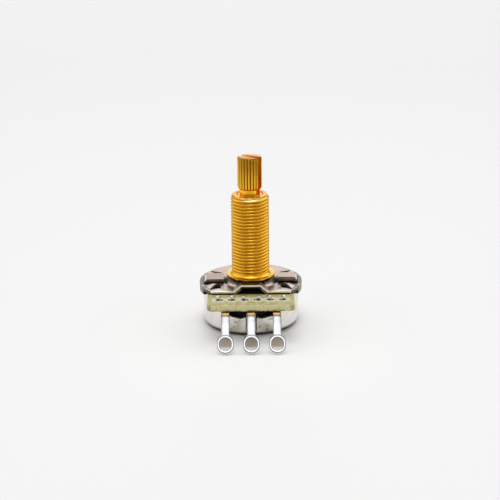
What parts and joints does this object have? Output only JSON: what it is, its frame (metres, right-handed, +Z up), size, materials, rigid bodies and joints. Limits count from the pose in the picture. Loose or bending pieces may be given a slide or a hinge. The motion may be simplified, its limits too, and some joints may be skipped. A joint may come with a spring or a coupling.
{
  "type": "split shaft potentiometer",
  "caption": "Panel potentiometer with a long threaded brass bushing, a split splined shaft, a drawn steel cover and bent solder lugs.",
  "frame": {"origin": "outer face of the rear cover, on the shaft's axis", "axes": "+Z up the shaft from the cover to the knob end, -Y towards the terminals, +X to the right when the terminals face the viewer"},
  "size_m": [0.0256, 0.0363, 0.0426],
  "materials": {
    "nickel_cover": "satin nickel plating on drawn steel",
    "nickel_plate": "satin nickel plating on stamped steel",
    "plain_steel": "bright stamped steel",
    "spring_steel": "dark oiled spring steel",
    "brass": "bright turned brass with a gold tone",
    "tinned_metal": "bright tin over stamped metal",
    "spring_bronze": "plain rolled bronze",
    "olive_board": "semi-matt resin laminate with a sawn edge",
    "brown_moulding": "matt phenolic moulding",
    "carbon_print": "matt carbon print",
    "silver_print": "matt silver print"
  },
  "bodies": {
    "housing": {"rear_cover": "nickel_cover", "thrust_washer": "plain_steel", "bushing": "brass", "mounting_plate": "nickel_plate", "element_board": "olive_board", "carbon_track": "carbon_print", "end_pad_left": "silver_print", "end_pad_right": "silver_print", "collector_ring": "tinned_metal", "terminal_left": "tinned_metal", "terminal_centre": "tinned_metal", "terminal_right": "tinned_metal"},
    "rotor": {"shaft": "brass", "driver": "brown_moulding", "wiper_contact": "spring_bronze", "retaining_ring": "spring_steel"}
  },
  "joints": [
    {"name": "shaft_turn", "type": "hinge", "parent": "housing", "child": "rotor", "pos_m": [0, 0, 0.02], "axis": [0, 0, 1], "range_deg": [-150, 150]}
  ]
}
